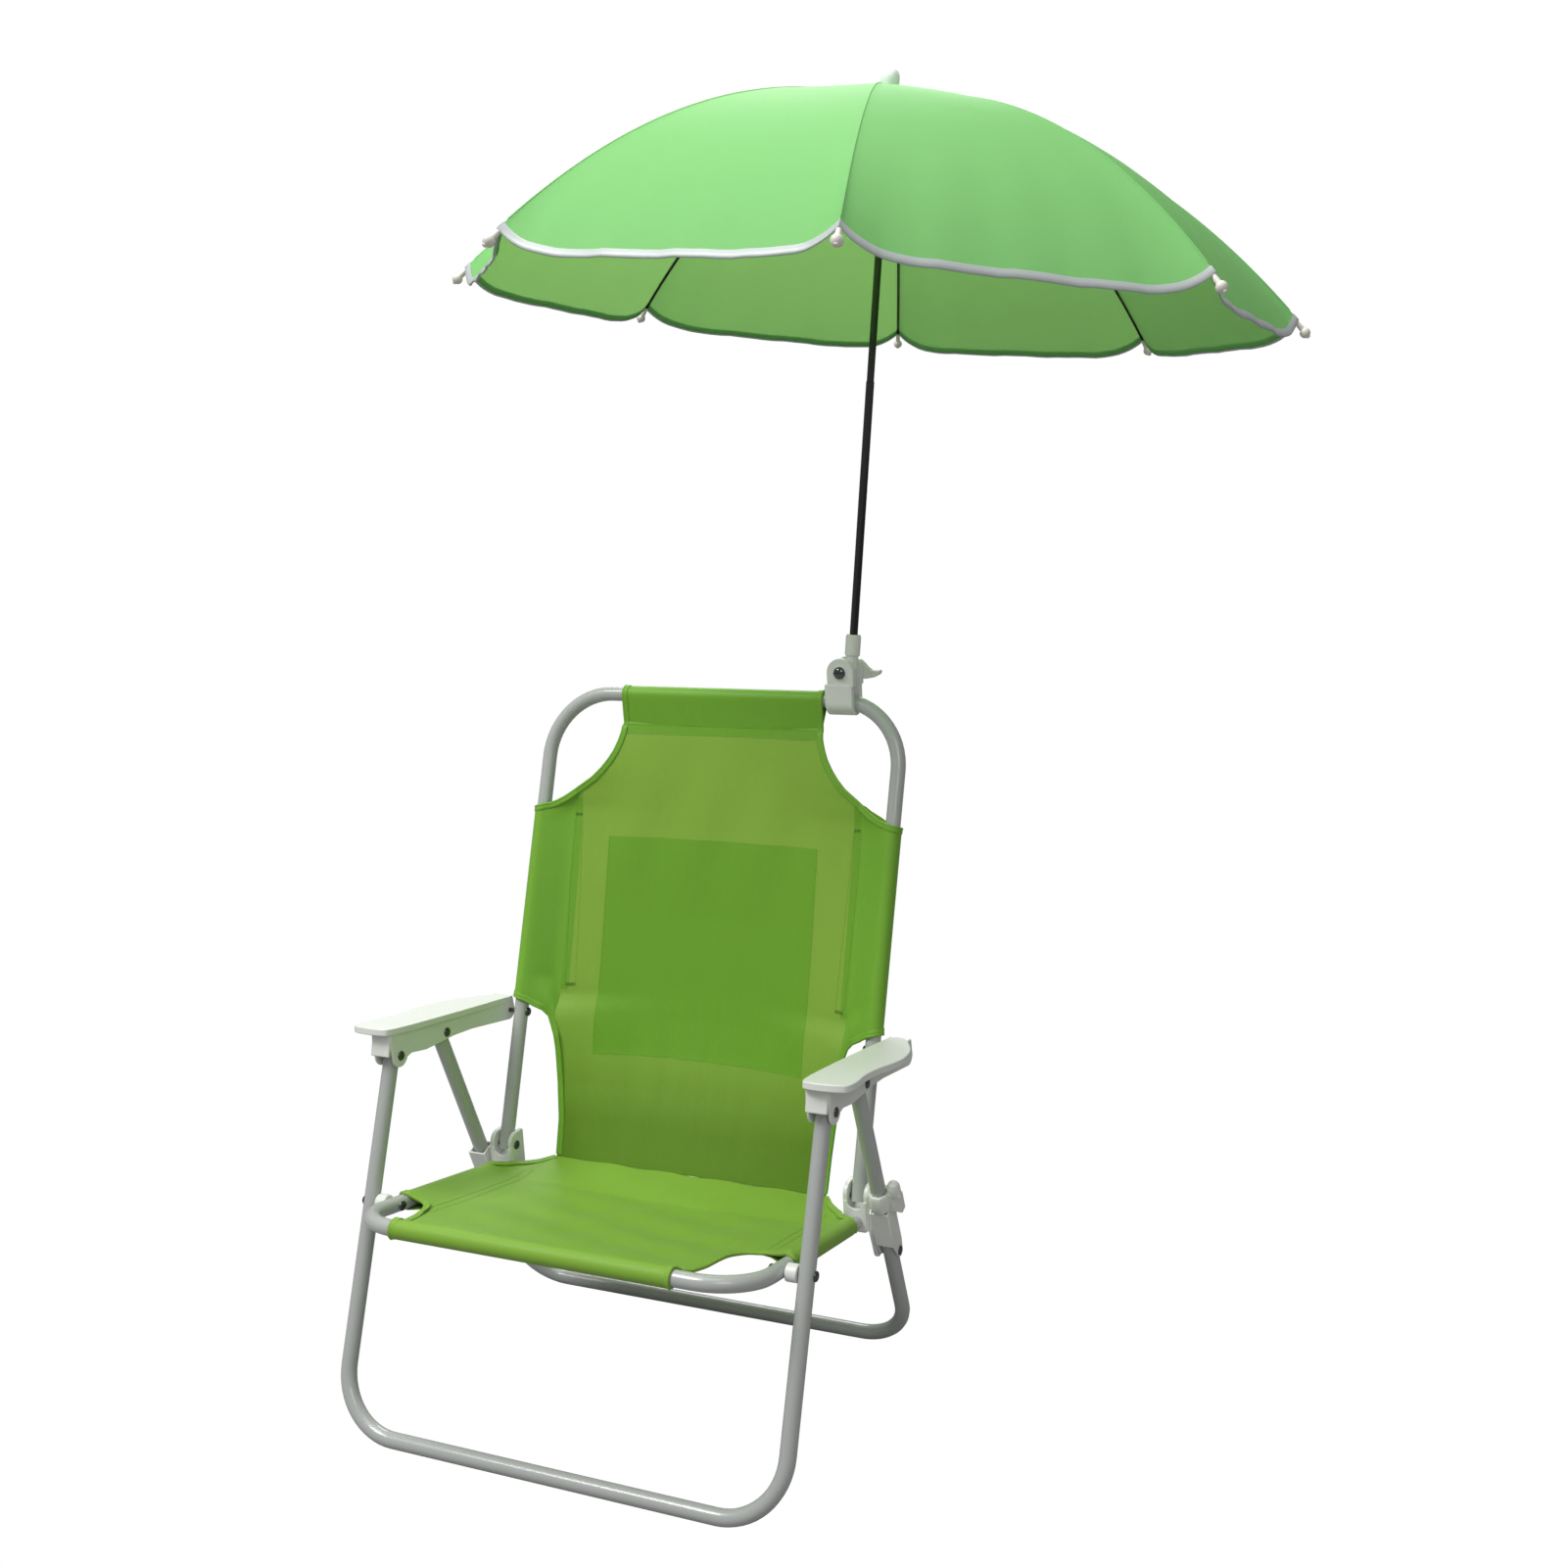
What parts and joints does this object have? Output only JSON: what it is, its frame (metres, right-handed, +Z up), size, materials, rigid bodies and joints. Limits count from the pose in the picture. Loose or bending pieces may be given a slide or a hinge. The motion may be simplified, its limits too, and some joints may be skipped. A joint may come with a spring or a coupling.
{
  "type": "folding beach chair with sunshade",
  "caption": "Child's folding beach chair of bent steel tube and green cloth, with plastic arm rests and a small umbrella clamped to the back's top bar; it folds flat and the umbrella closes.",
  "frame": {"origin": "on the ground, under the middle of the bounding box of chair and umbrella", "axes": "+Z up, -Y the front that the sitter faces, +X the side of the umbrella (right in the picture)"},
  "size_m": [0.7176, 0.7299, 1.0719],
  "materials": {
    "painted_steel": "glossy off-white powder coat",
    "pale_plastic": "smooth moulded off-white plastic",
    "rivet_steel": "dark plated rivet",
    "chrome": "chromed tube",
    "lime_nylon": "woven lime green nylon, slightly see-through",
    "canopy_cloth": "thin bright green umbrella nylon with pale hem tape",
    "rib_steel": "dark wire with pale plastic tips"
  },
  "bodies": {
    "seat": {"seat_frame": "painted_steel", "seat_cloth": "lime_nylon", "seat_bracket_left": "pale_plastic", "seat_bracket_right": "pale_plastic", "seat_spacer_left": "pale_plastic", "seat_spacer_right": "pale_plastic", "seat_rivet_left": "rivet_steel", "seat_rivet_right": "rivet_steel", "post_pin_left": "rivet_steel", "post_pin_right": "rivet_steel", "guide_pin_left": "rivet_steel", "guide_pin_right": "rivet_steel"},
    "front_legs": {"front_leg_frame": "painted_steel"},
    "arms": {"arm_left": "pale_plastic", "arm_right": "pale_plastic", "arm_front_rivet_left": "rivet_steel", "arm_front_rivet_right": "rivet_steel", "arm_middle_rivet_left": "rivet_steel", "arm_middle_rivet_right": "rivet_steel", "arm_rear_rivet_left": "rivet_steel", "arm_rear_rivet_right": "rivet_steel"},
    "rear_legs": {"rear_leg_frame": "painted_steel"},
    "leg_guides": {"leg_guide_left": "pale_plastic", "leg_guide_right": "pale_plastic"},
    "lock": {"lock_sleeve": "pale_plastic"},
    "back": {"back_frame": "painted_steel", "back_cloth": "lime_nylon", "bar_clamp": "pale_plastic", "clamp_bolt": "chrome"},
    "clamp_lever": {"clamp_lever": "pale_plastic"},
    "umbrella_pole": {"pole_socket": "pale_plastic", "pole": "chrome", "canopy_crown": "pale_plastic", "canopy_ferrule": "pale_plastic"},
    "runner": {"runner": "pale_plastic"},
    "rib_1": {"rib_1": "rib_steel", "gore_1": "canopy_cloth"},
    "stretcher_1": {"stretcher_1": "rib_steel"},
    "rib_2": {"rib_2": "rib_steel", "gore_2": "canopy_cloth"},
    "stretcher_2": {"stretcher_2": "rib_steel"},
    "rib_3": {"rib_3": "rib_steel", "gore_3": "canopy_cloth"},
    "stretcher_3": {"stretcher_3": "rib_steel"},
    "rib_4": {"rib_4": "rib_steel", "gore_4": "canopy_cloth"},
    "stretcher_4": {"stretcher_4": "rib_steel"},
    "rib_5": {"rib_5": "rib_steel", "gore_5": "canopy_cloth"},
    "stretcher_5": {"stretcher_5": "rib_steel"},
    "rib_6": {"rib_6": "rib_steel", "gore_6": "canopy_cloth"},
    "stretcher_6": {"stretcher_6": "rib_steel"},
    "rib_7": {"rib_7": "rib_steel", "gore_7": "canopy_cloth"},
    "stretcher_7": {"stretcher_7": "rib_steel"},
    "rib_8": {"rib_8": "rib_steel", "gore_8": "canopy_cloth"},
    "stretcher_8": {"stretcher_8": "rib_steel"}
  },
  "joints": [
    {"name": "front_leg_fold", "type": "hinge", "parent": "seat", "child": "front_legs", "pos_m": [-0.1323, -0.2919, 0.1763], "axis": [1, 0, 0], "range_deg": [0, 80]},
    {"name": "back_fold", "type": "hinge", "parent": "seat", "child": "back", "pos_m": [-0.1323, -0.1344, 0.1624], "axis": [1, 0, 0], "range_deg": [0, 80]},
    {"name": "arm_level", "type": "hinge", "parent": "front_legs", "child": "arms", "pos_m": [-0.1323, -0.2505, 0.2897], "axis": [1, 0, 0], "range_deg": [-80, 0]},
    {"name": "rear_leg_fold", "type": "hinge", "parent": "arms", "child": "rear_legs", "pos_m": [-0.1323, -0.1873, 0.2878], "axis": [1, 0, 0], "range_deg": [0, 40]},
    {"name": "guide_turn", "type": "hinge", "parent": "seat", "child": "leg_guides", "pos_m": [-0.1323, -0.12465, 0.11319], "axis": [1, 0, 0], "range_deg": [0, 40]},
    {"name": "lock_slide", "type": "slide", "parent": "leg_guides", "child": "lock", "axis": [0, -0.3377, 0.9412], "range_m": [0, 0.012]},
    {"name": "umbrella_tilt", "type": "hinge", "parent": "back", "child": "umbrella_pole", "pos_m": [-0.0128, 0.00647, 0.5836], "axis": [0, 1, 0], "range_deg": [-45, 45]},
    {"name": "lever_turn", "type": "hinge", "parent": "back", "child": "clamp_lever", "pos_m": [-0.0128, 0.00647, 0.5836], "axis": [0, 1, 0], "range_deg": [0, 90]},
    {"name": "rib_1_fold", "type": "hinge", "parent": "umbrella_pole", "child": "rib_1", "pos_m": [0.02822, 0.02452, 1.04486], "axis": [0.8848, -0.4633, -0.049], "range_deg": [0, 58], "deforming": ["gore_1"]},
    {"name": "stretcher_1_fold", "type": "hinge", "parent": "rib_1", "child": "stretcher_1", "pos_m": [-0.04167, -0.10757, 1.03195], "axis": [0.8848, -0.4633, -0.049], "range_deg": [-116, 0]},
    {"name": "rib_2_fold", "type": "hinge", "parent": "umbrella_pole", "child": "rib_2", "pos_m": [0.03505, 0.02391, 1.04431], "axis": [0.9497, 0.2977, -0.0975], "range_deg": [0, 58], "deforming": ["gore_2"]},
    {"name": "stretcher_2_fold", "type": "hinge", "parent": "rib_2", "child": "stretcher_2", "pos_m": [0.0774, -0.11832, 1.02243], "axis": [0.9497, 0.2977, -0.0975], "range_deg": [-116, 0]},
    {"name": "rib_3_fold", "type": "hinge", "parent": "umbrella_pole", "child": "rib_3", "pos_m": [0.0403, 0.02831, 1.04362], "axis": [0.4582, 0.8844, -0.0889], "range_deg": [0, 58], "deforming": ["gore_3"]},
    {"name": "stretcher_3_fold", "type": "hinge", "parent": "rib_3", "child": "stretcher_3", "pos_m": [0.16878, -0.04159, 1.01033], "axis": [0.4582, 0.8844, -0.0889], "range_deg": [-116, 0]},
    {"name": "rib_4_fold", "type": "hinge", "parent": "umbrella_pole", "child": "rib_4", "pos_m": [0.04089, 0.03516, 1.04318], "axis": [-0.3017, 0.953, -0.0282], "range_deg": [0, 58], "deforming": ["gore_4"]},
    {"name": "stretcher_4_fold", "type": "hinge", "parent": "rib_4", "child": "stretcher_4", "pos_m": [0.17893, 0.07767, 1.00273], "axis": [-0.3017, 0.953, -0.0282], "range_deg": [-116, 0]},
    {"name": "rib_5_fold", "type": "hinge", "parent": "umbrella_pole", "child": "rib_5", "pos_m": [0.03646, 0.04044, 1.04326], "axis": [-0.8848, 0.4633, 0.049], "range_deg": [0, 58], "deforming": ["gore_5"]},
    {"name": "stretcher_5_fold", "type": "hinge", "parent": "rib_5", "child": "stretcher_5", "pos_m": [0.10192, 0.16959, 1.00408], "axis": [-0.8848, 0.4633, 0.049], "range_deg": [-116, 0]},
    {"name": "rib_6_fold", "type": "hinge", "parent": "umbrella_pole", "child": "rib_6", "pos_m": [0.02962, 0.04106, 1.04381], "axis": [-0.9497, -0.2977, 0.0975], "range_deg": [0, 58], "deforming": ["gore_6"]},
    {"name": "stretcher_6_fold", "type": "hinge", "parent": "rib_6", "child": "stretcher_6", "pos_m": [-0.01715, 0.18034, 1.0136], "axis": [-0.9497, -0.2977, 0.0975], "range_deg": [-116, 0]},
    {"name": "rib_7_fold", "type": "hinge", "parent": "umbrella_pole", "child": "rib_7", "pos_m": [0.02438, 0.03665, 1.0445], "axis": [-0.4582, -0.8844, 0.0889], "range_deg": [0, 58], "deforming": ["gore_7"]},
    {"name": "stretcher_7_fold", "type": "hinge", "parent": "rib_7", "child": "stretcher_7", "pos_m": [-0.10852, 0.10362, 1.0257], "axis": [-0.4582, -0.8844, 0.0889], "range_deg": [-116, 0]},
    {"name": "rib_8_fold", "type": "hinge", "parent": "umbrella_pole", "child": "rib_8", "pos_m": [0.02379, 0.0298, 1.04494], "axis": [0.3017, -0.953, 0.0282], "range_deg": [0, 58], "deforming": ["gore_8"]},
    {"name": "stretcher_8_fold", "type": "hinge", "parent": "rib_8", "child": "stretcher_8", "pos_m": [-0.11868, -0.01564, 1.0333], "axis": [0.3017, -0.953, 0.0282], "range_deg": [-116, 0]},
    {"name": "runner_slide", "type": "slide", "parent": "umbrella_pole", "child": "runner", "axis": [-0.0846, -0.0562, -0.9948], "range_m": [0, 0.226]}
  ],
  "couplings": [
    {"joint": "back_fold", "follows": "front_leg_fold", "ratio": 1},
    {"joint": "arm_level", "follows": "front_leg_fold", "ratio": -1},
    {"joint": "rear_leg_fold", "follows": "front_leg_fold", "ratio": 0.5},
    {"joint": "guide_turn", "follows": "front_leg_fold", "ratio": 0.5},
    {"joint": "stretcher_1_fold", "follows": "rib_1_fold", "ratio": -2},
    {"joint": "rib_2_fold", "follows": "rib_1_fold", "ratio": 1},
    {"joint": "stretcher_2_fold", "follows": "rib_1_fold", "ratio": -2},
    {"joint": "rib_3_fold", "follows": "rib_1_fold", "ratio": 1},
    {"joint": "stretcher_3_fold", "follows": "rib_1_fold", "ratio": -2},
    {"joint": "rib_4_fold", "follows": "rib_1_fold", "ratio": 1},
    {"joint": "stretcher_4_fold", "follows": "rib_1_fold", "ratio": -2},
    {"joint": "rib_5_fold", "follows": "rib_1_fold", "ratio": 1},
    {"joint": "stretcher_5_fold", "follows": "rib_1_fold", "ratio": -2},
    {"joint": "rib_6_fold", "follows": "rib_1_fold", "ratio": 1},
    {"joint": "stretcher_6_fold", "follows": "rib_1_fold", "ratio": -2},
    {"joint": "rib_7_fold", "follows": "rib_1_fold", "ratio": 1},
    {"joint": "stretcher_7_fold", "follows": "rib_1_fold", "ratio": -2},
    {"joint": "rib_8_fold", "follows": "rib_1_fold", "ratio": 1},
    {"joint": "stretcher_8_fold", "follows": "rib_1_fold", "ratio": -2},
    {"joint": "runner_slide", "follows": "rib_1_fold", "m_per_rad": 0.22315}
  ]
}
